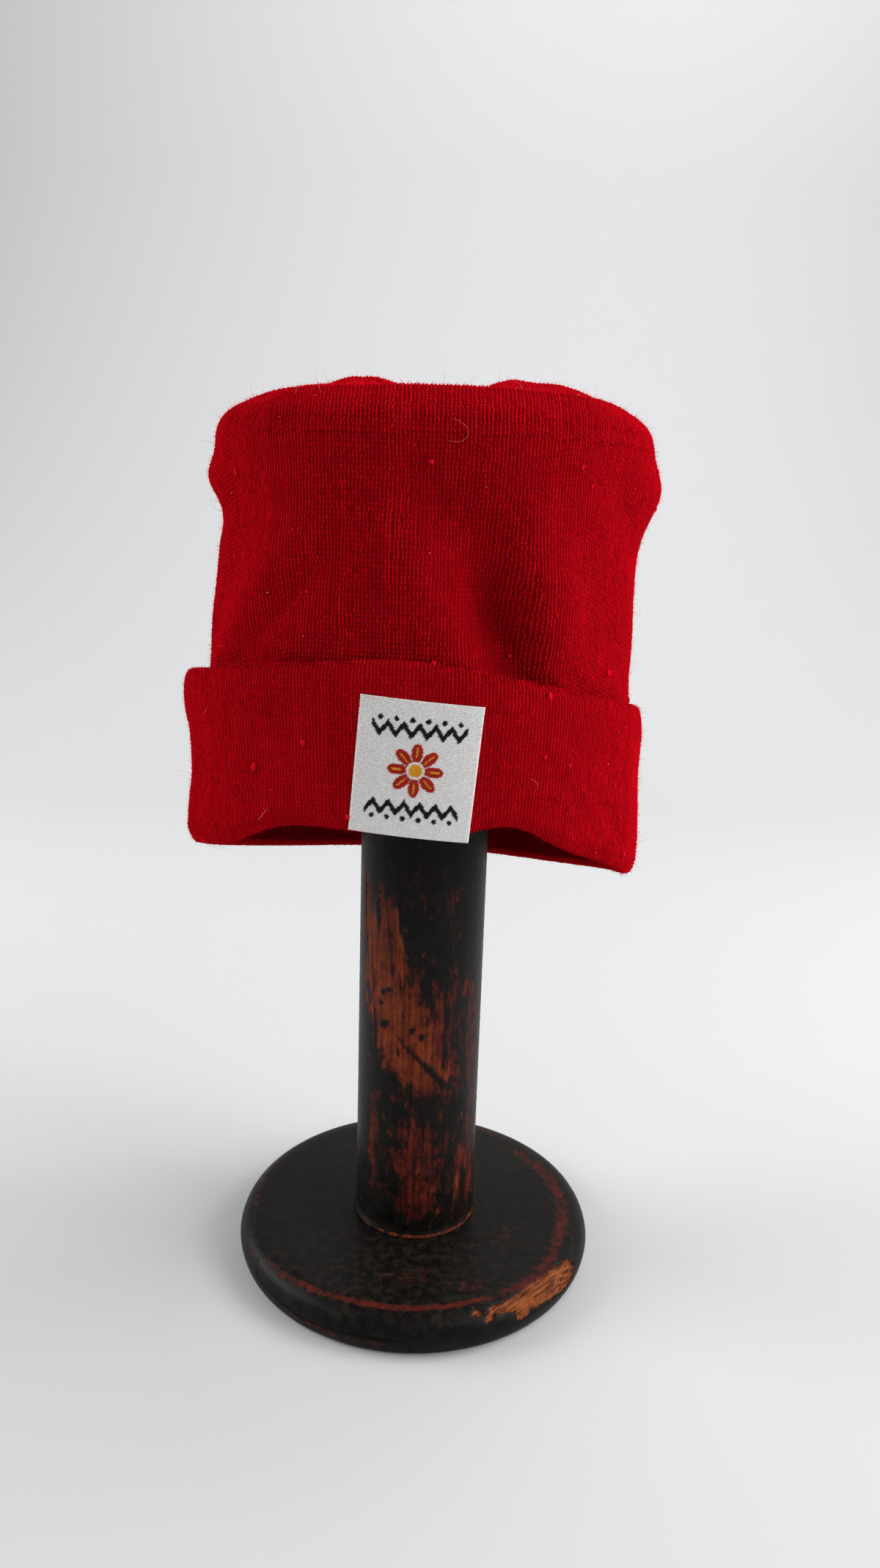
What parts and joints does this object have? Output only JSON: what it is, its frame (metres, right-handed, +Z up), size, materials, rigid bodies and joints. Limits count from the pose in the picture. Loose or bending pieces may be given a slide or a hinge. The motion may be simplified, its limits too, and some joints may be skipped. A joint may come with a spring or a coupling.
{
  "type": "beanie on a wooden spool stand",
  "caption": "Red knitted beanie with a turned-up cuff and a woven label, pulled over the top of a dark, worn, turned wooden spool that stands on its lower end.",
  "frame": {"origin": "centre of the spool's foot, on the surface it stands on", "axes": "+X to the right seen from the front, which is the wearer's left; +Y from the front, where the label is, to the back; +Z up"},
  "size_m": [0.1871, 0.1806, 0.384],
  "materials": {
    "red_knit": "fine plain knit, soft and slightly fuzzy",
    "white_weave": "dense woven damask with a faint sheen",
    "worn_wood": "near-black lacquer worn through to red and bare orange wood"
  },
  "bodies": {
    "root": {"crown": "red_knit", "cuff": "red_knit", "label": "white_weave", "stand_top": "worn_wood", "stand_post": "worn_wood", "stand_base": "worn_wood"}
  },
  "joints": []
}
